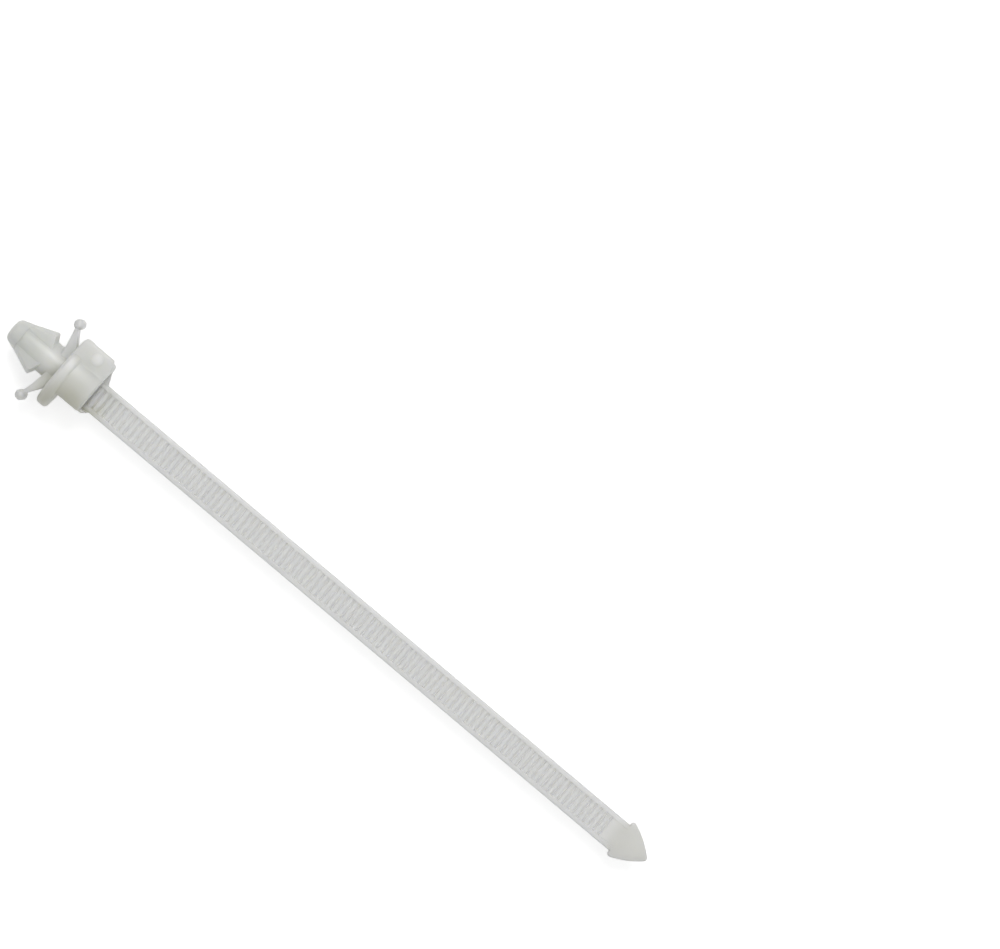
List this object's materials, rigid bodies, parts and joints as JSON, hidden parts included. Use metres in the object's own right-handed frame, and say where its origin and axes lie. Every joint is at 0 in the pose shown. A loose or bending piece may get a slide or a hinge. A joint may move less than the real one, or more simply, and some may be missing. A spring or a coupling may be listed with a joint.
{
  "type": "cable tie",
  "caption": "Natural nylon push-mount cable tie in one moulding: toothed strap, ratchet head and a winged arrowhead post that snaps into a panel hole.",
  "frame": {"origin": "centre of the flange's panel face, on the axis of the snap post", "axes": "+Y along the snap post, out through the panel; the strap runs along -Y; +Z is the toothed side of the strap"},
  "size_m": [0.0148, 0.12, 0.0118],
  "materials": {
    "nylon": "as moulded, milky natural nylon with a soft sheen"
  },
  "bodies": {
    "root": {"cable_tie": "nylon"}
  },
  "joints": []
}
